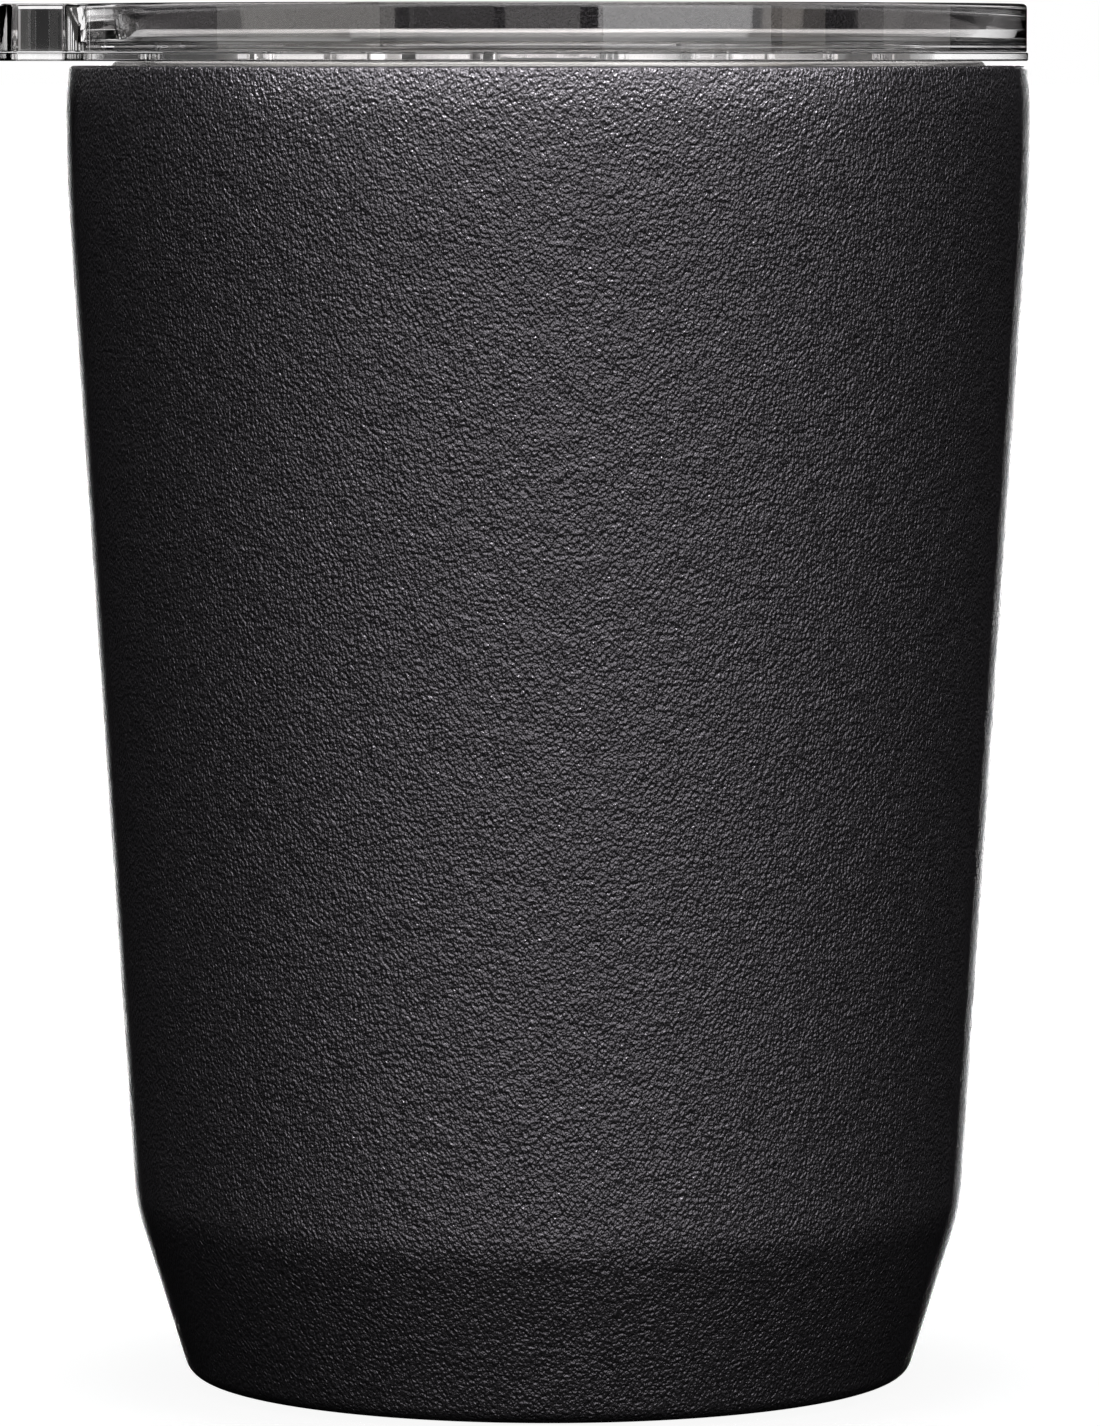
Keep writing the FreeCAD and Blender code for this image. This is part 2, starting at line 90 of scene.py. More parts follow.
# lid, upper moulding
LID_R, LID_TOP_Z = 41.6, 120.35
PART_LINE_Z = FLANGE_TOP_Z + 0.03
LID_TOP_EDGE, LID_UNDER_EDGE = 0.4, 0.15
TAB_TIP_X, TAB_HALF_W, TAB_CORNER_R, TAB_ROOT_R = -47.4, 11.0, 4.0, 3.0
RIM_IN_R, RIM_BEND_R, RIM_BEND_Z, RIM_FOOT_R, LEDGE_Z = 40.25, 38.0, 118.1, 36.75, 117.0
RIM_FLAT_R = RIM_IN_R + 0.2     # inner end of the rim's flat top
WELL_R, DECK_Z = 32.2, 116.2
DECK_R = WELL_R - 0.4           # the deck's flat, inside the fillet
DECK_UNDER_Z = DECK_Z - 2.0
SPIGOT_R = PLUG_IN_R - 0.05

# openings and seals in the deck
STEP_DEG = 50.0                 # turn of the dial between neighbouring positions
SIP_R0, SIP_R1, SIP_HALF_DEG = 23.8, 28.0, 15.0
STRAW_X, STRAW_R = -22.0, 4.0
VENT_R, VENT_AT_R = 0.8, 18.0
SEAL_W, SEAL_OFF, SEAL_BED_Z = 1.5, 0.95, DECK_Z - 0.7
VENT_SEAL_IN, VENT_SEAL_OUT = 1.4, 2.4
BED_GAP = 0.02                  # between a seal and the sides of its bed
STOP_AT_R, STOP_R = 13.0, 1.2
STOP_GROOVE_Z, STOP_LUG_Z = 115.3, 115.45
MARK_AT_R = 34.3

# dial and pivot
DIAL_R, DIAL_UNDER_Z, DIAL_TOP_Z = 31.9, 116.6, 118.5
DIAL_UNDER_EDGE, DIAL_TOP_EDGE = 0.2, 0.35
GRIP_HALF_L, GRIP_W, GRIP_END_R = 27.0, 6.0, 2.95
GRIP_TOP_Z = LID_TOP_Z - 0.4
GRIP_EDGE, GRIP_ROOT = 0.7, 0.5
PIVOT_R, BOSS_R, BOSS_UNDER_Z = 4.5, 7.2, 113.0
STEM_R = PIVOT_R - 0.08
O_RING_R, O_RING_THICK_R, O_RING_Z = 3.945, 0.525, 115.15
WASHER_R0, WASHER_R1, WASHER_T = 4.6, 7.0, 0.6
FACE_GAP = 0.02                 # above and below the washer
CAP_FACE_Z = BOSS_UNDER_Z - FACE_GAP - WASHER_T - FACE_GAP


# ==========================================================================================
# mesh building: faces with exact corner normals, merged where they meet
# ==========================================================================================
class Mesher:
    """Collects faces with a normal at every corner, so flats stay flat and rounds smooth."""

    MERGE_PER_MM = 20000        # points this fraction of a millimetre apart become one

    def __init__(self):
        self.ids = {}
        self.points = []
        self.faces = []
        self.normals = []

    def vertex(self, point):
        key = tuple(round(v * self.MERGE_PER_MM) for v in point)
        if key not in self.ids:
            self.ids[key] = len(self.points)
            self.points.append((point[0] * MM, point[1] * MM, point[2] * MM))
        return self.ids[key]

    def face(self, points, normals):
        """Adds a face wound to agree with its normals; one without an area is left out."""
        corners, kept = [], []
        for point, normal in zip(points, normals):
            i = self.vertex(point)
            if i not in corners:
                corners.append(i)
                kept.append(normal)
        if len(corners) < 3:
            return
        x = y = z = 0.0
        for j, corner in enumerate(corners):
            a, b = self.points[corner], self.points[corners[(j + 1) % len(corners)]]
            x += a[1] * b[2] - a[2] * b[1]
            y += a[2] * b[0] - a[0] * b[2]
            z += a[0] * b[1] - a[1] * b[0]
        if x * x + y * y + z * z < 1e-32:
            return
        sums = [sum(n[axis] for n in kept) for axis in range(3)]
        if x * sums[0] + y * sums[1] + z * sums[2] < 0:
            corners, kept = corners[::-1], kept[::-1]
        self.faces.append(corners)
        self.normals.append(kept)

    def strip(self, ring_a, ring_b):
        """Quads between two closed rings of (point, normal)."""
        count = len(ring_a)
        for i in range(count):
            j = (i + 1) % count
            corners = (ring_a[i], ring_a[j], ring_b[j], ring_b[i])
            self.face([c[0] for c in corners], [c[1] for c in corners])

    def stack(self, rings):
        """Strips between neighbouring rings."""
        for ring_a, ring_b in zip(rings, rings[1:]):
            self.strip(ring_a, ring_b)

    def flat(self, outer, holes, z, up):
        """A level face at z between an outer loop and hole loops."""
        loops = [outer] + list(holes)
        points = [p for loop in loops for p in loop]
        triangles = tessellate_polygon([[Vector((p[0], p[1], 0)) for p in loop] for loop in loops])
        normal = (0, 0, 1 if up else -1)
        for triangle in triangles:
            self.face([(points[k][0], points[k][1], z) for k in triangle], [normal] * 3)

    def annulus(self, loop_a, loop_b, z, up):
        """A level face between two loops of the same length."""
        normal = (0, 0, 1 if up else -1)
        self.strip([((p[0], p[1], z), normal) for p in loop_a],
                   [((p[0], p[1], z), normal) for p in loop_b])

    def walls(self, loop, z0, z1, solid_inside=True):
        """An upright wall along a loop, facing away from the solid."""
        side = 1 if solid_inside else -1
        self.strip(ring_at(loop, z0, side), ring_at(loop, z1, side))

    def build(self, name, body, material, replaces=()):
        mesh = bpy.data.meshes.new(name)
        mesh.from_pydata(self.points, [], self.faces)
        mesh.polygons.foreach_set("use_smooth", [True] * len(mesh.polygons))
        normals = np.array([n for corners in self.normals for n in corners], float)
        normals /= np.maximum(np.linalg.norm(normals, axis=1), 1e-12)[:, None]
        mesh.update()
        mesh.normals_split_custom_set(normals)
        mesh.materials.append(material)
        ob = bpy.data.objects.new(name, mesh)
        scene.collection.objects.link(ob)
        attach(ob, body)
        if replaces:
            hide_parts(*replaces)


# ------------------------------------------------------------------------------------------
# outlines in section: corners are (radius, z[, fillet]), points are (radius, z, normal r, z)
# ------------------------------------------------------------------------------------------
def fillet(before, corner, after, radius):
    """The two tangent points of a rounded corner, and its (centre, radius)."""
    x, y = corner
    len_a = math.hypot(before[0] - x, before[1] - y)
    len_b = math.hypot(after[0] - x, after[1] - y)
    to_a = ((before[0] - x) / len_a, (before[1] - y) / len_a)
    to_b = ((after[0] - x) / len_b, (after[1] - y) / len_b)
    angle = math.acos(max(-1.0, min(1.0, to_a[0] * to_b[0] + to_a[1] * to_b[1])))
    cut = radius / math.tan(angle / 2)
    start = (x + to_a[0] * cut, y + to_a[1] * cut)
    end = (x + to_b[0] * cut, y + to_b[1] * cut)
    length = math.hypot(to_a[0] + to_b[0], to_a[1] + to_b[1])
    middle = ((to_a[0] + to_b[0]) / length, (to_a[1] + to_b[1]) / length)
    reach = radius / math.sin(angle / 2)
    centre = (x + middle[0] * reach, y + middle[1] * reach)
    return start, end, (centre, radius)


def arc_section(start, end, centre, radius, arc_steps, max_len):
    """Points round a fillet; arc_steps is the count for a quarter turn."""
    a0 = math.atan2(start[1] - centre[1], start[0] - centre[0])
    a1 = math.atan2(end[1] - centre[1], end[0] - centre[0])
    turn = (a1 - a0 + math.pi) % (2 * math.pi) - math.pi
    steps = max(2, int(math.ceil(arc_steps * abs(turn) / (math.pi / 2))))
    if max_len:
        steps = max(steps, int(math.ceil(abs(turn) * radius / max_len)))
    # outward is away from the centre on a left turn, towards it on a right turn
    side = 1 if turn > 0 else -1
    section = []
    for k in range(steps + 1):
        a = a0 + turn * k / steps
        c, s = math.cos(a), math.sin(a)
        section.append((centre[0] + radius * c, centre[1] + radius * s, side * c, side * s))
    return section


def line_section(start, end, length, max_len):
    dx, dy = end[0] - start[0], end[1] - start[1]
    nx, nz = dy / length, -dx / length
    steps = max(1, int(math.ceil(length / max_len))) if max_len else 1
    return [(start[0] + dx * k / steps, start[1] + dy * k / steps, nx, nz)
            for k in range(steps + 1)]


def profile(corners, closed=True, arc_steps=8, max_len=None):
    """Corners to a list of sections, with tangent joints kept exact.

    The outline runs with the solid on its left, so the normal is to the right of travel.
    """
    count = len(corners)
    ends = []
    for i, corner in enumerate(corners):
        at = corner[:2]
        radius = corner[2] if len(corner) > 2 else 0.0
        if radius <= 0 or (not closed and i in (0, count - 1)):
            ends.append((at, at, None))
        else:
            ends.append(fillet(corners[i - 1][:2], at, corners[(i + 1) % count][:2], radius))
    sections = []
    for i, (start, end, arc_of) in enumerate(ends):
        if arc_of:
            sections.append(arc_section(start, end, *arc_of, arc_steps, max_len))
        if i == count - 1 and not closed:
            break
        following = ends[(i + 1) % count][0]
        length = math.hypot(following[0] - end[0], following[1] - end[1])
        if length > 1e-6:
            sections.append(line_section(end, following, length, max_len))
    return sections


def signed_area(corners):
    total = 0.0
    for i, (x0, y0, *_) in enumerate(corners):
        x1, y1 = corners[(i + 1) % len(corners)][:2]
        total += x0 * y1 - x1 * y0
    return total / 2


def lathe(mesher, corners, closed=True, seg=ROUND_STEPS, centre=(0, 0), arc_steps=8,
          max_len=None):
    """Turns an outline about the upright axis through centre."""
    if closed and signed_area(corners) < 0:
        corners = corners[::-1]
    turns = [2 * math.pi * k / seg for k in range(seg)]
    directions = [(math.cos(a), math.sin(a)) for a in turns]
    for section in profile(corners, closed, arc_steps, max_len):
        if all(abs(p[0]) < 1e-6 for p in section):
            continue
        mesher.stack([[((centre[0] + r * c, centre[1] + r * s, z), (nr * c, nr * s, nz))
                       for c, s in directions] for r, z, nr, nz in section])


def offset_path(corners, distance):
    """An open outline moved sideways to its left, with its fillets made smaller."""
    lines = []
    for (x0, y0, _), (x1, y1, _) in zip(corners, corners[1:]):
        length = math.hypot(x1 - x0, y1 - y0)
        nx, ny = -(y1 - y0) / length, (x1 - x0) / length
        lines.append(((x0 + nx * distance, y0 + ny * distance),
                      (x1 + nx * distance, y1 + ny * distance)))
    moved = [lines[0][0]]
    for ((x1, y1), (x2, y2)), ((x3, y3), (x4, y4)) in zip(lines, lines[1:]):
        den = (x1 - x2) * (y3 - y4) - (y1 - y2) * (x3 - x4)
        cross_a = x1 * y2 - y1 * x2
        cross_b = x3 * y4 - y3 * x4
        moved.append(((cross_a * (x3 - x4) - (x1 - x2) * cross_b) / den,
                      (cross_a * (y3 - y4) - (y1 - y2) * cross_b) / den))
    moved.append(lines[-1][1])
    return [(x, y, max(radius - distance, 0.1) if radius > 0 else 0.0)
            for (_, _, radius), (x, y) in zip(corners, moved)]


# ------------------------------------------------------------------------------------------
# loops seen from above: lists of (x, y, normal x, normal y)
# ------------------------------------------------------------------------------------------
def arc(cx, cy, radius, start, sweep, steps, side=1, with_end=False):
    """Points along an arc in radians; side -1 turns the normals towards the centre."""
    points = []
    for k in range(steps + with_end):
        a = start + sweep * k / steps
        c, s = math.cos(a), math.sin(a)
        points.append((cx + radius * c, cy + radius * s, side * c, side * s))
    return points


def circle(radius, seg, cx=0.0, cy=0.0):
    return arc(cx, cy, radius, 0.0, 2 * math.pi, seg)


def kidney(r0, r1, half_deg, centre_deg=0.0, n_arc=24, n_end=12):
    """A curved slot with round ends, normals pointing out of the slot."""
    a0, a1 = math.radians(centre_deg - half_deg), math.radians(centre_deg + half_deg)
    middle_r, end_r = (r0 + r1) / 2, (r1 - r0) / 2
    return (arc(0.0, 0.0, r1, a0, a1 - a0, n_arc)
            + arc(middle_r * math.cos(a1), middle_r * math.sin(a1), end_r, a1, math.pi, n_end)
            + arc(0.0, 0.0, r0, a1, a0 - a1, n_arc, side=-1)
            + arc(middle_r * math.cos(a0), middle_r * math.sin(a0), end_r,
                  a0 + math.pi, math.pi, n_end))


def sip_loop(off):
    return kidney(SIP_R0 - off, SIP_R1 + off, SIP_HALF_DEG)


def straw_loop(off, seg):
    return circle(STRAW_R + off, seg, STRAW_X, 0)


def lid_loop(grow=0.0):
    """The lid's outline: a circle with a rounded tab at -X. Any grow gives the same count."""
    radius, half_w = LID_R + grow, TAB_HALF_W + grow
    corner_r, root_r = TAB_CORNER_R + grow, TAB_ROOT_R - grow
    tip = TAB_TIP_X - grow
    root_x = -math.sqrt((radius + root_r) ** 2 - (half_w + root_r) ** 2)
    root_y = half_w + root_r
    meet = math.atan2(root_y, root_x)       # where the circle meets the root fillet
    corner_x, corner_y = tip + corner_r, half_w - corner_r
    quarter = math.pi / 2
    n_round, n_side, n_tip = 14, 3, 14
    loop = arc(0.0, 0.0, radius, -meet, 2 * meet, ROUND_STEPS)
    root_start = meet - math.pi
    loop += arc(root_x, root_y, root_r, root_start, -quarter - root_start, n_round, side=-1)
    loop += [(root_x + (corner_x - root_x) * k / n_side, half_w, 0.0, 1.0)
             for k in range(n_side)]
    loop += arc(corner_x, corner_y, corner_r, quarter, quarter, n_round)
    loop += [(tip, corner_y * (1 - 2 * k / n_tip), -1.0, 0.0) for k in range(n_tip)]
    loop += arc(corner_x, -corner_y, corner_r, math.pi, quarter, n_round)
    loop += [(corner_x + (root_x - corner_x) * k / n_side, -half_w, 0.0, -1.0)
             for k in range(n_side)]
    loop += arc(root_x, -root_y, root_r, quarter, (math.pi - meet) - quarter, n_round, side=-1)
    return loop


LID_OUTLINE = lid_loop()


def flange_loop(off):
    return lid_loop(FLANGE_STEP + off)


def lid_circle(radius):
    """A circle with one point in the direction of each point of the lid's outline."""
    directions = [math.atan2(p[1], p[0]) for p in LID_OUTLINE]
    return [(radius * math.cos(a), radius * math.sin(a), math.cos(a), math.sin(a))
            for a in directions]


def grip_loop(off, n_end=24):
    """The dial's grip: a bar along X with rounded ends."""
    radius = GRIP_END_R + off
    x, y = GRIP_HALF_L + off - radius, GRIP_W / 2 + off - radius
    quarter = math.pi / 2
    loop = []
    for cx, cy, start in ((x, y, 0.0), (-x, y, quarter), (-x, -y, math.pi),
                          (x, -y, 1.5 * math.pi)):
        loop += arc(cx, cy, radius, start, quarter, n_end, with_end=True)
    return loop


def ring_at(loop, z, out=1, up=0.0):
    """A ring of (point, normal) from a loop: normal = out * outline normal + up * Z."""
    return [((p[0], p[1], z), (out * p[2], out * p[3], up)) for p in loop]


def edge_round(mesher, loop_of, radius, z, z_side, steps=8):
    """A quarter round from the upright wall to the level face at z. z_side 1 is a top edge."""
    rings = []
    for k in range(steps + 1):
        a = math.pi / 2 * k / steps
        off = -radius + radius * math.cos(a)
        height = z - z_side * (radius - radius * math.sin(a))
        rings.append(ring_at(loop_of(off), height, math.cos(a), z_side * math.sin(a)))
    mesher.stack(rings)


def lid_lathe(mesher, corners):
    """Turns an open outline in the lid outline's directions, to meet it point for point."""
    for section in profile(corners, closed=False, arc_steps=10):
        mesher.stack([ring_at(lid_circle(r), z, nr, nz) for r, z, nr, nz in section])


# ==========================================================================================
# materials
# ==========================================================================================
def feed(tree, target, inputs):
    """Sets a node's inputs, each from a number, a tuple or another node's output."""
    for key, value in inputs.items():
        if isinstance(value, bpy.types.NodeSocket):
            tree.links.new(value, target.inputs[key])
        else:
            target.inputs[key].default_value = value


def add_node(tree, kind, inputs=None, **settings):
    made = tree.nodes.new(kind)
    for key, value in settings.items():
        setattr(made, key, value)
    feed(tree, made, inputs or {})
    return made


def new_material(name):
    material = bpy.data.materials.new(name)
    material.use_nodes = True
    tree = material.node_tree
    return material, tree, tree.nodes["Principled BSDF"]


def object_coords(tree):
    return add_node(tree, "ShaderNodeTexCoord").outputs["Object"]


def noise(tree, coords, scale, detail):
    inputs = {"Vector": coords, "Scale": scale, "Detail": detail}
    return add_node(tree, "ShaderNodeTexNoise", inputs).outputs["Fac"]


def map_range(tree, value, to, span=(0.0, 1.0), **settings):
    inputs = {"Value": value, "From Min": span[0], "From Max": span[1],
              "To Min": to[0], "To Max": to[1]}
    return add_node(tree, "ShaderNodeMapRange", inputs, **settings).outputs["Result"]


def bump(tree, height, strength, distance):
    inputs = {"Height": height, "Strength": strength, "Distance": distance}
    return add_node(tree, "ShaderNodeBump", inputs).outputs["Normal"]


def color_ramp(tree, value, dark, light, span=(0.0, 1.0)):
    made = add_node(tree, "ShaderNodeValToRGB", {"Fac": value})
    for element, color, position in zip(made.color_ramp.elements, (dark, light), span):
        element.position = position
        element.color = color
    return made.outputs["Color"]


def shades(color, low, high):
    """A darker and a lighter shade of a colour, as RGBA."""
    return [tuple(min(1, c * factor) for c in color) + (1,) for factor in (low, high)]


def powder_coat():
    """Fine-grained powder coat: hard small lumps over a soft orange peel."""
    material, tree, shader = new_material("powder_coat")
    coords = object_coords(tree)
    mapping = add_node(tree, "ShaderNodeMapping", {"Vector": coords, "Scale": (1.35, 1.35, 1.0)})
    lumps = noise(tree, mapping.outputs["Vector"], scale=2800.0, detail=1.0)
    peel = noise(tree, coords, scale=420.0, detail=1.0)
    # height = peel / 2 + lumps
    height = add_node(tree, "ShaderNodeMath", {0: peel, 1: 0.5, 2: lumps},
                      operation="MULTIPLY_ADD").outputs[0]
    feed(tree, shader, {
        "Normal": bump(tree, height, strength=1.0, distance=0.00032),
        "Base Color": color_ramp(tree, lumps, dark=(0.0045, 0.0043, 0.0047, 1),
                                 light=(0.0092, 0.0087, 0.0095, 1), span=(0.30, 0.72)),
        "Roughness": map_range(tree, peel, to=(0.30, 0.39)),
        "Specular IOR Level": 0.5,
        "Specular Tint": (0.97, 0.91, 1.0, 1.0)})
    return material


def clear_plastic(name, tint):
    """Clear plastic with slightly uneven gloss and a faint waviness."""
    material, tree, shader = new_material(name)
    coords = object_coords(tree)
    gloss = noise(tree, coords, scale=260.0, detail=2.0)
    waves = noise(tree, coords, scale=45.0, detail=1.0)
    feed(tree, shader, {
        "Transmission Weight": 1.0,
        "IOR": 1.57,
        "Base Color": (*tint, 1),
        "Roughness": map_range(tree, gloss, to=(0.0072, 0.018)),
        "Normal": bump(tree, waves, strength=0.12, distance=0.00006)})
    return material


def steel(name, rough):
    """Stainless steel with fine circumferential polishing lines."""
    material, tree, shader = new_material(name)
    coords = object_coords(tree)
    # noise over (distance from the axis, height) runs round the piece in lines
    place = add_node(tree, "ShaderNodeSeparateXYZ", {0: coords}).outputs
    level = add_node(tree, "ShaderNodeCombineXYZ", {"X": place["X"], "Y": place["Y"]})
    radius = add_node(tree, "ShaderNodeVectorMath", {0: level.outputs[0]}, operation="LENGTH")
    section = add_node(tree, "ShaderNodeCombineXYZ",
                       {"X": radius.outputs["Value"], "Z": place["Z"]})
    lines = noise(tree, section.outputs[0], scale=9000.0, detail=2.0)
    patches = noise(tree, coords, scale=120.0, detail=3.0)
    feed(tree, shader, {
        "Metallic": 1.0,
        "Roughness": map_range(tree, patches, to=(rough - 0.01, rough + 0.05)),
        "Normal": bump(tree, lines, strength=0.35, distance=0.00001),
        "Base Color": color_ramp(tree, lines, *shades((0.62, 0.61, 0.595), 0.93, 1.05))})
    return material


def silicone(name, color, rough, transmission=0.0):
    """A fine-grained soft surface; also serves for the glass bead and the adhesive."""
    material, tree, shader = new_material(name)
    grain = noise(tree, object_coords(tree), scale=1500.0, detail=2.0)
    feed(tree, shader, {
        "Base Color": color_ramp(tree, grain, *shades(color, 0.88, 1.1)),
        "Normal": bump(tree, grain, strength=0.3, distance=0.00003),
        "Roughness": rough,
        "IOR": 1.42,
        "Transmission Weight": transmission})
    return material


def plain_metal(name, color, rough, scale):
    material, tree, shader = new_material(name)
    grain = noise(tree, object_coords(tree), scale=scale, detail=4.0)
    feed(tree, shader, {
        "Metallic": 1.0,
        "Base Color": color_ramp(tree, grain, *shades(color, 0.85, 1.1)),
        "Roughness": rough,
        "Normal": bump(tree, grain, strength=0.4, distance=0.00005)})
    return material


COAT = powder_coat()
CLEAR = clear_plastic("clear_copolyester", tint=(0.985, 0.976, 0.978))
CLEAR_DIAL = clear_plastic("clear_copolyester_dial", tint=(0.98, 0.972, 0.974))
STEEL = steel("stainless_liner", rough=0.24)
steel("stainless_lip", rough=0.16)      # a smoother steel, part of the set but on no piece
GASKET = silicone("clear_silicone", (0.78, 0.80, 0.80), rough=0.38, transmission=0.55)
FOOT = silicone("dark_silicone", (0.022, 0.0215, 0.023), rough=0.62)
FOIL = plain_metal("bright_foil", (0.88, 0.88, 0.89), rough=0.18, scale=500.0)
GETTER = plain_metal("getter_alloy", (0.3, 0.3, 0.31), rough=0.6, scale=3000.0)
BEAD = silicone("sealing_glass", (0.10, 0.12, 0.13), rough=0.12)
GLUE = silicone("adhesive_film", (0.70, 0.68, 0.62), rough=0.5)


# ==========================================================================================
# the cup; every outline below is (radius, z[, fillet])
# ==========================================================================================
SHELL_OUTSIDE = [
    (BASE_HOLE_R, FOOT_PROUD, 0.0),
    (31.53, FOOT_PROUD, 1.8),
    (36.245, 15.49, 12.5),
    (42.0, 105.7, 167.0),
    (42.0, 112.8, 24.5),
    (41.68, BODY_TOP_Z, 0.42),
    (LIP_R + 0.02, BODY_TOP_Z, 0.0),
]


def cup_shell():
    mesher = Mesher()
    inside = offset_path(SHELL_OUTSIDE, OUTER_T)[::-1]
    lathe(mesher, SHELL_OUTSIDE + inside, arc_steps=12, max_len=4.0, seg=384)
    mesher.build("cup_shell", "cup", COAT, ("outer_wall",))


def cup_liner():
    """The inner wall, from its seam up to the mouth and over the rolled lip."""
    mesher = Mesher()
    lathe(mesher, [
        (LINER_SEAM_R, LINER_SEAM_Z),
        (MOUTH_R, MOUTH_STRAIGHT_Z, 80.0),
        (MOUTH_R, LIP_Z, 0.53),
        (LIP_R, LIP_Z, 0.53),
        (LIP_R, 114.1, 0.4),
        (MOUTH_R + LINER_T, 113.3, 0.6),
        (MOUTH_R + LINER_T, MOUTH_STRAIGHT_Z, 80.0),
        (LINER_SEAM_R + LINER_T, LINER_SEAM_Z)], arc_steps=12, max_len=5.0)
    mesher.build("cup_liner", "cup", STEEL, ("liner_wall",))


def cup_liner_floor():
    """The cup's inner floor, with a low raised middle."""
    seam_z, seam_r = LINER_SEAM_Z - 0.02, LINER_SEAM_R
    taper = LINER_SLOPE * (seam_z - FLOOR_Z)
    step = 0.5                  # height of the raised middle
    mesher = Mesher()
    lathe(mesher, [
        (0, FLOOR_Z + step),
        (13.2, FLOOR_Z + step, 1.2),
        (14.4, FLOOR_Z, 1.2),
        (seam_r - taper, FLOOR_Z, 6.0),
        (seam_r, seam_z),
        (seam_r + LINER_T, seam_z),
        (seam_r + LINER_T - taper, FLOOR_Z - LINER_T, 6.5),
        (14.3, FLOOR_Z - LINER_T, 1.2),
        (13.1, FLOOR_Z + step - LINER_T, 1.2),
        (0, FLOOR_Z + step - LINER_T)], arc_steps=12)
    mesher.build("cup_liner_floor", "cup", STEEL, ("liner_bottom",))


def cup_base_plate():
    plate_r = BASE_HOLE_R - 0.04
    inner_r = plate_r - 0.6     # inside of the plate's turned-down edge
    mesher = Mesher()
    lathe(mesher, [
        (1.0, 3.2), (4.4, 3.2, 0.4), (5.5, 2.5, 0.4), (inner_r, 2.5, 0.5), (inner_r, 0.55),
        (plate_r, 0.55), (plate_r, 3.1, 1.0), (5.7, 3.1, 0.6), (4.6, 3.8, 0.6), (1.0, 3.8)],
        seg=192)
    mesher.build("cup_base_plate", "cup", STEEL, ("base_plate",))


def cup_foot():
    """The foot pad, with three ring grooves in its underside."""
    depth, edge = 0.5, 0.1
    corners = [(0, 0)]
    for r0, r1 in ((6.0, 7.2), (13.0, 14.2), (19.8, 21.0)):
        corners += [(r0, 0, edge), (r0, depth, edge), (r1, depth, edge), (r1, 0, edge)]
    corners += [(26.6, 0, 0.5), (26.6, 2.29, 0.3), (6.3, 2.29), (5.9, 2.1), (0, 2.1)]
    mesher = Mesher()
    lathe(mesher, corners, seg=192, arc_steps=6)
    mesher.build("cup_foot", "cup", FOOT, ("foot_pad",))


# ==========================================================================================
# the lid
# ==========================================================================================
def lid_upper():
    """Rim with tab, ledge, and the sunk deck with its openings, seal beds and pivot boss."""
    mesher = Mesher()
    edge_round(mesher, lid_loop, LID_TOP_EDGE, LID_TOP_Z, 1)
    mesher.walls(LID_OUTLINE, PART_LINE_Z + LID_UNDER_EDGE, LID_TOP_Z - LID_TOP_EDGE)
    edge_round(mesher, lid_loop, LID_UNDER_EDGE, PART_LINE_Z, -1, steps=4)
    mesher.annulus(lid_loop(-LID_TOP_EDGE), lid_circle(RIM_FLAT_R), LID_TOP_Z, True)
    # from the rim's flat top down to the ledge, over the well's edge and down to the deck
    lid_lathe(mesher, [
        (RIM_FLAT_R, LID_TOP_Z),
        (RIM_IN_R, LID_TOP_Z, 0.4),
        (RIM_BEND_R, RIM_BEND_Z, 1.5),
        (RIM_FOOT_R, LEDGE_Z, 0.4),
        (WELL_R, LEDGE_Z, 0.3),
        (WELL_R, DECK_Z, 0.4),
        (DECK_R, DECK_Z)])

    # sip, straw and vent: the hole, then the inner and outer walls of its seal bed
    in_off, out_off = SEAL_OFF - BED_GAP, SEAL_OFF + SEAL_W + BED_GAP
    openings = (
        (sip_loop(0.0), sip_loop(in_off), sip_loop(out_off)),
        (straw_loop(0.0, 48), straw_loop(in_off, 48), straw_loop(out_off, 48)),
        (circle(VENT_R, 24, VENT_AT_R), circle(VENT_SEAL_IN - BED_GAP, 32, VENT_AT_R),
         circle(VENT_SEAL_OUT + BED_GAP, 32, VENT_AT_R)))
    holes = [opening[0] for opening in openings]
    beds = [opening[2] for opening in openings]
    groove_half_w = STOP_R + 0.15
    stop_groove = kidney(STOP_AT_R - groove_half_w, STOP_AT_R + groove_half_w,
                         STEP_DEG + 0.3, 90.0, n_arc=48)
    pivot = circle(PIVOT_R, 48)
    mesher.flat(lid_circle(DECK_R), beds + [stop_groove, pivot], DECK_Z, True)
    for hole, bed_in, bed_out in openings:
        mesher.flat(bed_in, [hole], DECK_Z, True)
        mesher.walls(bed_out, SEAL_BED_Z, DECK_Z, solid_inside=False)
        mesher.walls(bed_in, SEAL_BED_Z, DECK_Z)
        mesher.flat(bed_out, [bed_in], SEAL_BED_Z, True)
        mesher.walls(hole, DECK_UNDER_Z, DECK_Z, solid_inside=False)
    mesher.walls(stop_groove, STOP_GROOVE_Z, DECK_Z, solid_inside=False)
    mesher.flat(stop_groove, [], STOP_GROOVE_Z, True)
    mesher.walls(pivot, BOSS_UNDER_Z, DECK_Z, solid_inside=False)

    # underside
    spigot = lid_circle(SPIGOT_R)
    boss = circle(BOSS_R, 96)
    mesher.annulus(lid_loop(-LID_UNDER_EDGE), spigot, PART_LINE_Z, False)
    mesher.walls(spigot, DECK_UNDER_Z, PART_LINE_Z)
    mesher.flat(spigot, holes + [boss], DECK_UNDER_Z, False)
    mesher.walls(boss, BOSS_UNDER_Z, DECK_UNDER_Z)
    mesher.flat(boss, [pivot], BOSS_UNDER_Z, False)
    mesher.build("lid_upper", "lid", CLEAR, ("lid_top",))


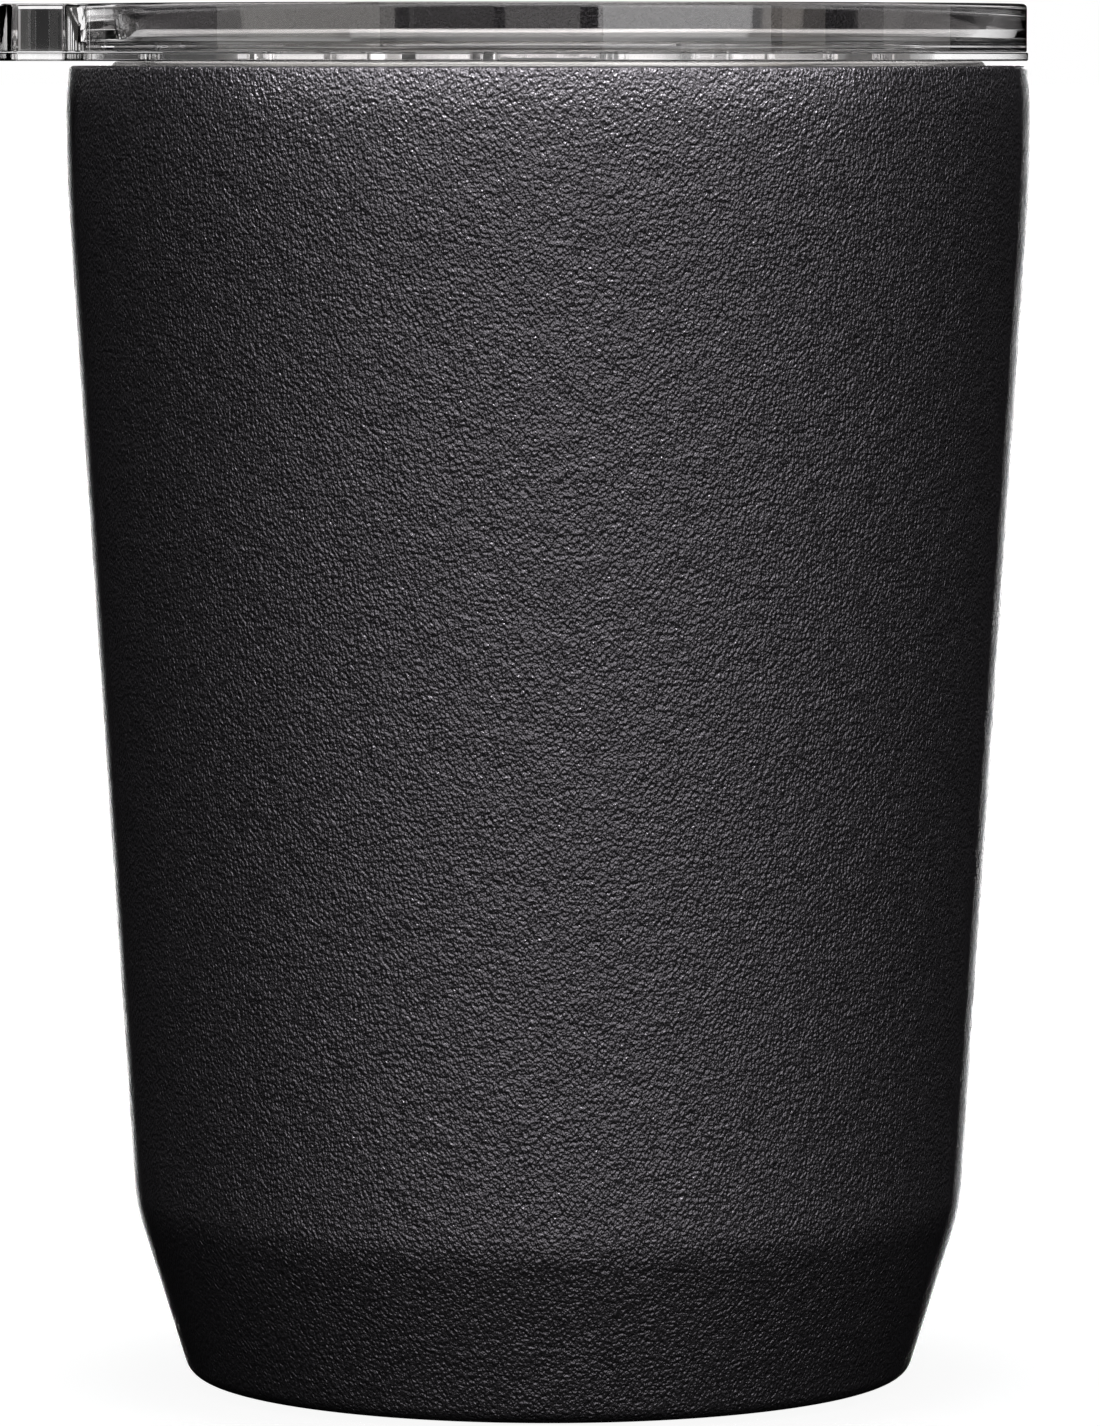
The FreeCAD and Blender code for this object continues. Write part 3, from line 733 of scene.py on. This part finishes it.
def lid_marks():
    """Raised marks on the ledge: a dot for closed, a bar for sip, a ring for straw."""
    z0, z1 = LEDGE_Z + 0.004, LEDGE_Z + 0.25
    edge = 0.1

    def at(degrees):
        a = math.radians(degrees)
        return MARK_AT_R * math.cos(a), MARK_AT_R * math.sin(a)

    mesher = Mesher()
    lathe(mesher, [(0, z0), (0.9, z0), (0.9, z1, edge), (0, z1)],
          seg=32, centre=at(0.0), arc_steps=4)
    bar = kidney(33.6, 35.0, 2.6, STEP_DEG, n_arc=8, n_end=8)
    mesher.walls(bar, z0, z1)
    mesher.flat(bar, [], z1, True)
    mesher.flat(bar, [], z0, False)
    lathe(mesher, [(0.65, z0), (1.25, z0), (1.25, z1, edge), (0.65, z1, edge)],
          seg=40, centre=at(-STEP_DEG), arc_steps=4)
    mesher.build("lid_marks", "lid", CLEAR)


def lid_lower():
    """The flange on the cup's lip and the plug that reaches into the mouth."""
    top_edge, under_edge = 0.12, 0.15
    mesher = Mesher()
    edge_round(mesher, flange_loop, top_edge, FLANGE_TOP_Z, 1, steps=4)
    mesher.walls(flange_loop(0), FLANGE_UNDER_Z + under_edge, FLANGE_TOP_Z - top_edge)
    edge_round(mesher, flange_loop, under_edge, FLANGE_UNDER_Z, -1, steps=6)
    mesher.annulus(flange_loop(-top_edge), lid_circle(PLUG_IN_R), FLANGE_TOP_Z, True)
    mesher.annulus(flange_loop(-under_edge), lid_circle(PLUG_R), FLANGE_UNDER_Z, False)
    lid_lathe(mesher, [
        (PLUG_IN_R, FLANGE_TOP_Z),
        (PLUG_IN_R, PLUG_BOTTOM_Z),
        (PLUG_R - 1.3, PLUG_BOTTOM_Z, 0.5),
        (PLUG_R, PLUG_BOTTOM_Z + 2.0, 0.5),
        (PLUG_R, GROOVE_Z0),
        (GROOVE_R, GROOVE_Z0, 0.2),
        (GROOVE_R, GROOVE_Z1, 0.2),
        (PLUG_R, GROOVE_Z1),
        (PLUG_R, FLANGE_UNDER_Z)])
    mesher.build("lid_lower", "lid", CLEAR, ("lid_plug",))


def lid_gasket():
    """The ring in the plug's groove, with three fins."""
    inner_r, outer_r = GROOVE_R + 0.02, PLUG_R - 0.1
    z0, z1 = GROOVE_Z0 + 0.05, GROOVE_Z1 - 0.05
    corners = [(inner_r, z0, 0.25), (outer_r, z0, 0.15)]
    for k in range(3):
        fin_z = z0 + 0.5 + k * 1.5
        corners += [(outer_r, fin_z, 0.2), (GASKET_FIN_R, fin_z + 0.55, 0.15),
                    (GASKET_FIN_R, fin_z + 0.85, 0.15), (outer_r, fin_z + 0.95, 0.2)]
    corners += [(outer_r, z1, 0.15), (inner_r, z1, 0.25)]
    mesher = Mesher()
    lathe(mesher, corners)
    mesher.build("lid_gasket_ring", "lid", GASKET, ("lid_gasket",))


def seal(name, replaced, loop_of, inner, outer, edge):
    """A seal in its bed under the dial, between two offsets of an opening's loop."""
    z0, z1 = SEAL_BED_Z + 0.01, DIAL_UNDER_Z - 0.02
    steps = 6
    mesher = Mesher()
    mesher.walls(loop_of(outer), z0, z1 - edge)
    edge_round(mesher, lambda off: loop_of(outer + off), edge, z1, 1, steps)
    mesher.annulus(loop_of(outer - edge), loop_of(inner + edge), z1, True)
    rings = []
    for k in range(steps + 1):
        a = math.pi / 2 * (1 - k / steps)
        rings.append(ring_at(loop_of(inner + edge - edge * math.cos(a)),
                             z1 - edge + edge * math.sin(a), -math.cos(a), math.sin(a)))
    mesher.stack(rings)
    mesher.stack([ring_at(loop_of(inner), z, -1) for z in (z1 - edge, z0)])
    mesher.annulus(loop_of(inner), loop_of(outer), z0, False)
    mesher.build(name, "lid", GASKET, (replaced,))


def seals():
    seal("seal_sip", "sip_seal", sip_loop, SEAL_OFF, SEAL_OFF + SEAL_W, edge=0.35)
    seal("seal_straw", "straw_seal", lambda off: straw_loop(off, 64),
         SEAL_OFF, SEAL_OFF + SEAL_W, edge=0.35)
    seal("seal_vent", "vent_seal", lambda off: circle(VENT_SEAL_IN + off, 40, VENT_AT_R),
         0.0, VENT_SEAL_OUT - VENT_SEAL_IN, edge=0.3)


# ==========================================================================================
# the selector
# ==========================================================================================
def dial():
    """A disc with windows, a grip bar on top, and a stop lug and a stem below."""
    rim_seg, stem_seg = 192, 64
    mesher = Mesher()
    lathe(mesher, [
        (DIAL_R - DIAL_UNDER_EDGE, DIAL_UNDER_Z),
        (DIAL_R, DIAL_UNDER_Z, DIAL_UNDER_EDGE),
        (DIAL_R, DIAL_TOP_Z, DIAL_TOP_EDGE),
        (DIAL_R - DIAL_TOP_EDGE, DIAL_TOP_Z)], closed=False, seg=rim_seg)

    # each window is one step of turn away from its opening in the deck
    straw_turn = math.radians(180.0 + STEP_DEG)
    vent_turn = math.radians(-STEP_DEG)
    windows = [
        kidney(SIP_R0 - 0.2, SIP_R1 + 0.2, SIP_HALF_DEG, -STEP_DEG),
        circle(STRAW_R + 0.4, 56, -STRAW_X * math.cos(straw_turn),
               -STRAW_X * math.sin(straw_turn)),
        circle(VENT_R + 0.2, 24, VENT_AT_R * math.cos(vent_turn),
               VENT_AT_R * math.sin(vent_turn))]
    mesher.flat(circle(DIAL_R - DIAL_TOP_EDGE, rim_seg), windows + [grip_loop(GRIP_ROOT)],
                DIAL_TOP_Z, True)
    for window in windows:
        mesher.walls(window, DIAL_UNDER_Z, DIAL_TOP_Z, solid_inside=False)

    # grip, with a small fillet at its root
    rings = []
    for k in range(9):
        a = math.pi / 2 * k / 8
        rings.append(ring_at(grip_loop(GRIP_ROOT - GRIP_ROOT * math.sin(a)),
                             DIAL_TOP_Z + GRIP_ROOT - GRIP_ROOT * math.cos(a),
                             math.sin(a), math.cos(a)))
    mesher.stack(rings)
    mesher.walls(grip_loop(0), DIAL_TOP_Z + GRIP_ROOT, GRIP_TOP_Z - GRIP_EDGE)
    edge_round(mesher, grip_loop, GRIP_EDGE, GRIP_TOP_Z, 1)
    mesher.flat(grip_loop(-GRIP_EDGE), [], GRIP_TOP_Z, True)

    # underside with the stop lug and the stem
    lug = circle(STOP_R, 32, 0, STOP_AT_R)
    mesher.flat(circle(DIAL_R - DIAL_UNDER_EDGE, rim_seg),
                windows + [lug, circle(STEM_R, stem_seg)], DIAL_UNDER_Z, False)
    mesher.walls(lug, STOP_LUG_Z, DIAL_UNDER_Z)
    mesher.flat(lug, [], STOP_LUG_Z, False)
    lathe(mesher, [
        (0, CAP_FACE_Z - 2.0),
        (2.6, CAP_FACE_Z - 2.0), (3.6, CAP_FACE_Z - 1.0), (3.6, CAP_FACE_Z - 0.7),
        (3.0, CAP_FACE_Z - 0.7), (3.0, CAP_FACE_Z + 0.04), (STEM_R, CAP_FACE_Z + 0.04),
        (STEM_R, 114.5), (3.4, 114.5), (3.4, 115.8), (STEM_R, 115.8),
        (STEM_R, DIAL_UNDER_Z)], closed=False, seg=stem_seg)
    mesher.build("dial", "selector", CLEAR_DIAL, ("selector_dial",))


def dial_o_ring():
    section_steps, seg = 24, 64
    turns = [2 * math.pi * k / seg for k in range(seg)]
    rings = []
    for k in range(section_steps):
        a = 2 * math.pi * k / section_steps
        out, up = math.cos(a), math.sin(a)
        r, z = O_RING_R + O_RING_THICK_R * out, O_RING_Z + O_RING_THICK_R * up
        rings.append([((r * math.cos(b), r * math.sin(b), z),
                       (out * math.cos(b), out * math.sin(b), up)) for b in turns])
    mesher = Mesher()
    mesher.stack(rings + [rings[0]])
    mesher.build("dial_o_ring", "selector", GASKET, ("pivot_o_ring",))


def dial_washer():
    z0, edge = CAP_FACE_Z + FACE_GAP, 0.15
    mesher = Mesher()
    lathe(mesher, [
        (WASHER_R0, z0), (WASHER_R1, z0, edge),
        (WASHER_R1, z0 + WASHER_T, edge), (WASHER_R0, z0 + WASHER_T)], seg=64)
    mesher.build("dial_washer", "selector", GASKET, ("tension_washer",))


def dial_cap():
    """The cap under the boss, with a skirt that reaches up round it."""
    neck_r, skirt_in_r, skirt_r, skirt_top = 3.05, 7.35, 7.9, 114.0
    mesher = Mesher()
    lathe(mesher, [
        (neck_r, CAP_FACE_Z - 0.66),
        (5.2, CAP_FACE_Z - 0.66),
        (7.6, CAP_FACE_Z - 0.85, 0.4),
        (skirt_r, CAP_FACE_Z - 0.3, 0.3),
        (skirt_r, skirt_top, 0.25),
        (skirt_in_r, skirt_top, 0.2),
        (skirt_in_r, CAP_FACE_Z),
        (neck_r, CAP_FACE_Z)], seg=96)
    mesher.build("dial_cap", "selector", CLEAR_DIAL, ("pivot_cap",))


for build_piece in (
        cup_shell, cup_liner, cup_liner_floor, cup_base_plate, cup_foot,
        lid_upper, lid_marks, lid_lower, lid_gasket, seals,
        dial, dial_o_ring, dial_washer, dial_cap):
    build_piece()

# CAD pieces that stay as they are, hidden inside the walls
for name, material in (
        ("reflective_foil", FOIL), ("getter_clip", STEEL), ("getter_pellet", GETTER),
        ("vacuum_seal_bead", BEAD), ("pad_adhesive", GLUE)):
    slots = frame["nodes"][name].data.materials
    slots.clear()
    slots.append(material)

# ==========================================================================================
# stage: pale floor, soft light, camera; from here on lengths are in metres
# ==========================================================================================
WHITE = (1, 1, 1)
LID_CENTRE = (0, 0, 0.1166)     # the lid's cards lie round this point


def emission(name, strength, color=WHITE):
    material = bpy.data.materials.new(name)
    material.use_nodes = True
    tree = material.node_tree
    tree.nodes.clear()
    glow = add_node(tree, "ShaderNodeEmission", {"Strength": strength, "Color": (*color, 1)})
    add_node(tree, "ShaderNodeOutputMaterial", {0: glow.outputs[0]})
    return material


def stage_mesh(name, points, faces, material):
    mesh = bpy.data.meshes.new(name)
    mesh.from_pydata(points, [], faces)
    mesh.materials.append(material)
    ob = bpy.data.objects.new(name, mesh)
    scene.collection.objects.link(ob)
    return ob


def plane(name, size_x, size_y, at, material):
    x, y = size_x / 2, size_y / 2
    ob = stage_mesh(name, [(-x, -y, 0), (x, -y, 0), (x, y, 0), (-x, y, 0)],
                    [(0, 1, 2, 3)], material)
    ob.location = at
    return ob


def aim(ob, target):
    direction = Vector(target) - ob.location
    ob.rotation_euler = direction.to_track_quat("-Z", "Y").to_euler()


def area_light(name, at, target, size, watts, receivers):
    """A square lamp, hidden from the camera, that lights only the receivers."""
    light = bpy.data.lights.new(name, "AREA")
    light.shape = "RECTANGLE"
    light.size = light.size_y = size
    light.energy = watts
    ob = bpy.data.objects.new(name, light)
    scene.collection.objects.link(ob)
    ob.location = at
    aim(ob, target)
    ob.visible_camera = False
    ob.light_linking.receiver_collection = receivers
    return ob


def card(name, size_x, size_y, at, target, strength, color=WHITE, glossy=True, through=False):
    """A lit card, seen in reflections (glossy) or through the clear pieces (through)."""
    ob = plane(name, size_x, size_y, at, emission(name + "_mat", strength, color))
    aim(ob, target)
    ob.visible_camera = False
    ob.visible_shadow = False
    ob.visible_diffuse = False
    ob.visible_glossy = glossy
    ob.visible_transmission = through
    return ob


def seen_through(name, azimuth, elevation, strength, color):
    """A card seen only through the clear pieces.

    azimuth, from straight behind the lid towards +X, and elevation are (from, to) degrees.
    """
    distance = 2.2
    az, el = math.radians(sum(azimuth) / 2), math.radians(sum(elevation) / 2)
    toward = Vector((math.sin(az) * math.cos(el), math.cos(az) * math.cos(el), math.sin(el)))
    half_az = math.radians(azimuth[1] - azimuth[0]) / 2
    half_el = math.radians(elevation[1] - elevation[0]) / 2
    size_x = 2 * distance * min(math.tan(min(half_az, 1.4)), 3.0) * math.cos(el)
    size_y = 2 * distance * math.tan(half_el)
    if el > 1.5:                # straight overhead the card is square
        size_x = size_y
    return card(name, size_x, size_y, Vector(LID_CENTRE) + distance * toward, LID_CENTRE,
                strength, color, glossy=False, through=True)


def pale_floor():
    """An even pale tone out to the horizon, a little darker right round the foot: a painted
    contact shadow.
    """
    material, tree, shader = new_material("pale_floor")
    distance = add_node(tree, "ShaderNodeVectorMath", {0: object_coords(tree)},
                        operation="LENGTH").outputs["Value"]
    feed(tree, shader, {
        "Base Color": (0.32, 0.32, 0.32, 1),
        "Roughness": 0.9,
        "Specular IOR Level": 0.0,
        "Emission Color": (1, 1, 1, 1),
        # painted contact shadow: the floor glows less within a few centimetres of the foot
        "Emission Strength": map_range(tree, distance, span=(0.028, 0.06), to=(0.93, 1.05),
                                       interpolation_type="SMOOTHSTEP")})
    floor = plane("floor", 60, 60, (0, 0, -0.00002), material)
    floor.visible_diffuse = False
    floor.visible_glossy = False


def named_set(name, names):
    """A collection of pieces for light linking."""
    collection = bpy.data.collections.new(name)
    for ob in bpy.data.objects:
        if ob.type == "MESH" and ob.name in names:
            collection.objects.link(ob)
    return collection


pale_floor()
cup_only = named_set("cup_pieces", (
    "cup_shell", "cup_liner", "cup_liner_floor", "cup_base_plate", "cup_foot"))
inside_only = named_set("cup_inside", ("cup_liner", "cup_liner_floor"))
coat_only = named_set("cup_outside", ("cup_shell",))
lid_only = named_set("lid_pieces", (
    "lid_upper", "lid_lower", "lid_marks", "lid_gasket_ring", "seal_sip", "seal_straw",
    "seal_vent", "dial", "dial_o_ring", "dial_washer", "dial_cap"))

# soft boxes on a dome round the cup:
# (azimuth from the camera towards +X, elevation, watts)
SOFT_BOXES = (
    (0, 85, 158.0), (0, 60, 11.0), (65, 60, 7.0), (-65, 60, 5.5),
    (0, 35, 11.0), (35, 35, 11.0), (-35, 35, 8.0),
    (0, 8, 9.0), (35, 8, 8.5), (-35, 8, 4.2))

# cards in front that light only the lid, azimuth from the camera towards +X:
# (name, azimuth from-to, elevation from-to, strength, colour)
FRONT_CARDS = (
    ("left_front", (-87, -38), (-10, 45), 0.8, (1.0, 0.98, 0.94)),
    ("left_front_near", (-37, -13), (-10, 45), 0.2, (1.0, 0.98, 0.96)),
    ("front_middle", (-12, 9), (-10, 45), 0.5, (1.0, 0.98, 0.96)),
    ("right_front_warm", (56, 69), (-10, 45), 0.7, (1.0, 0.93, 0.86)),
    ("right_side", (85, 112), (-10, 45), 0.5, (1.0, 0.97, 0.95)))

# cards seen only through the clear pieces, azimuth from straight behind towards +X:
# (name, azimuth from-to, elevation from-to, strength, colour)
THROUGH_CARDS = (
    ("behind", (-7, 45), (4, 13), 0.13, (1.0, 0.97, 0.97)),
    ("behind_left_streak", (-30, -8), (0, 4), 1.6, WHITE),
    ("behind_left_low", (-95, -31), (0, 6), 0.25, (1.0, 0.96, 0.96)),
    ("behind_right_near", (20, 38), (0, 6), 0.32, (1.0, 0.97, 0.97)),
    ("behind_right_low", (42, 85), (0, 6), 0.30, (1.0, 0.96, 0.95)),
    ("left_high", (-88, -38), (20, 62), 1.3, WHITE),
    ("right_mid", (56, 95), (12, 44), 1.8, WHITE),
    ("right_near", (24, 54), (17, 44), 0.35, (1.0, 0.97, 0.96)),
    ("right_high", (44, 92), (46, 64), 0.7, (1.0, 0.98, 0.98)),
    ("top", (-90, 90), (76, 104), 0.45, (1.0, 0.98, 0.98)),
    ("front_high", (120, 240), (48, 75), 2.0, WHITE))

# upright strips behind the cup that draw a soft light edge down each side:
# (from, to, strength), in degrees off the view towards +X
RIM_STRIPS = {
    "left": ((-8, -2, 40.0), (-12, -8, 20.0), (-14, -12, 3.0)),
    "right": ((2, 8, 60.0), (8, 12, 30.0), (12, 16, 7.0))}


def lamps():
    centre, distance = (0, 0, 0.06), 1.6
    for k, (azimuth, elevation, watts) in enumerate(SOFT_BOXES):
        az, el = math.radians(azimuth), math.radians(elevation)
        toward = Vector((math.sin(az) * math.cos(el), -math.cos(az) * math.cos(el),
                         math.sin(el)))
        area_light("soft_box_%02d" % k, Vector(centre) + distance * toward, centre,
                   size=0.75, watts=watts, receivers=cup_only)
    # the clear lid lets light down into the cup
    mouth_light = area_light("down_the_mouth", (0, -0.2, 1.6), (0, 0, 0.1),
                             size=0.75, watts=60.0, receivers=inside_only)
    mouth_light.light_linking.blocker_collection = cup_only
    lid_target = (0, 0, 0.118)
    area_light("lid_overhead", (0.0, 0.2, 1.7), lid_target,
               size=1.2, watts=2.5, receivers=lid_only)
    area_light("lid_softbox", (0.72, -1.11, 0.30), lid_target,
               size=1.0, watts=4.4, receivers=lid_only)


def cards():
    for name, (az0, az1), elevation, strength, color in FRONT_CARDS:
        ob = seen_through(name, (180 - az1, 180 - az0), elevation, strength, color)
        ob.visible_glossy = True
        ob.light_linking.receiver_collection = lid_only
    # a white front card mirrored only in the liner and its lip
    ob = card("lip_fill", 4.0, 1.4, (0, -1.9, 0.5), (0, 0, 0.115), strength=1.1)
    ob.light_linking.receiver_collection = inside_only
    for row in THROUGH_CARDS:
        seen_through(*row)


def rim_strips():
    distance, height, middle_z = 1.3, 0.47, 0.02
    for side, strips in RIM_STRIPS.items():
        for k, (from_deg, to_deg, strength) in enumerate(strips):
            t0, t1 = math.tan(math.radians(from_deg)), math.tan(math.radians(to_deg))
            x = distance / 2 * (t0 + t1)
            ob = card("rim_%s_%d" % (side, k), distance * (t1 - t0), height,
                      (x, distance, middle_z), (x, 0, middle_z), strength)
            ob.light_linking.receiver_collection = coat_only


def rim_spill():
    """Light that the clear rim spills onto the shoulder just under it, along the front."""
    z, radii = 0.1172, (44.5, 45.5)         # z in metres, radii in millimetres
    turns = [math.radians(-90 + degrees) for degrees in range(-40, 41, 5)]
    points = [(r * MM * math.cos(a), r * MM * math.sin(a), z) for a in turns for r in radii]
    faces = [(2 * k, 2 * k + 1, 2 * k + 3, 2 * k + 2) for k in range(len(turns) - 1)]
    ob = stage_mesh("rim_spill", points, faces, emission("rim_spill_mat", strength=30.0))
    ob.visible_camera = False
    ob.visible_transmission = False
    ob.visible_shadow = False
    ob.light_linking.receiver_collection = coat_only


def studio_world():
    """White to the camera; through the clear pieces, a white table under a dark room."""
    world = bpy.data.worlds.new("studio")
    scene.world = world
    world.use_nodes = True
    tree = world.node_tree
    tree.nodes.clear()
    # the incoming vector points back at the viewer, so +Z means looking down
    geometry = add_node(tree, "ShaderNodeNewGeometry")
    view = add_node(tree, "ShaderNodeSeparateXYZ", {0: geometry.outputs["Incoming"]}).outputs
    table = map_range(tree, view["Z"], span=(-0.0003, 0.0003), to=(0.03, 1.1))
    # the far table is dark towards -X
    side = map_range(tree, view["X"], span=(0.20, 0.45), to=(1.0, 0.06))
    both = add_node(tree, "ShaderNodeMath", {0: table, 1: side}, operation="MULTIPLY")
    path = add_node(tree, "ShaderNodeLightPath").outputs
    through = add_node(tree, "ShaderNodeMath",
                       {0: path["Is Transmission Ray"], 1: both.outputs[0]},
                       operation="MULTIPLY")
    unseen = add_node(tree, "ShaderNodeBackground", {"Color": (1, 1, 1, 1), "Strength": 0.0})
    feed(tree, unseen, {"Strength": through.outputs[0]})
    backdrop = add_node(tree, "ShaderNodeBackground", {"Color": (1, 1, 1, 1), "Strength": 1.0})
    mix = add_node(tree, "ShaderNodeMixShader", {
        "Fac": path["Is Camera Ray"], 1: unseen.outputs[0], 2: backdrop.outputs[0]})
    add_node(tree, "ShaderNodeOutputWorld", {0: mix.outputs[0]})


def camera():
    """A long lens in front of the cup, looking slightly down."""
    lens = bpy.data.cameras.new("photo_view")
    lens.sensor_width = 36.0
    lens.lens = 222.631978
    lens.clip_start = 0.05
    lens.clip_end = 100.0
    ob = bpy.data.objects.new("photo_view", lens)
    scene.collection.objects.link(ob)
    ob.location = (0.00012, -0.7705, 0.11579 + FOOT_PROUD * MM)
    ob.rotation_euler = (math.radians(90 - 4.2866), 0.0, 0.0)
    scene.camera = ob


def render_settings():
    scene.view_settings.view_transform = "Standard"
    scene.view_settings.look = "None"
    # enough bounces for light to cross the stacked clear walls
    scene.cycles.max_bounces = 24
    scene.cycles.sample_clamp_indirect = 6.0
    scene.cycles.transmission_bounces = 20
    scene.cycles.glossy_bounces = 10
    scene.cycles.transparent_max_bounces = 16


lamps()
cards()
rim_strips()
rim_spill()
studio_world()
camera()
render_settings()
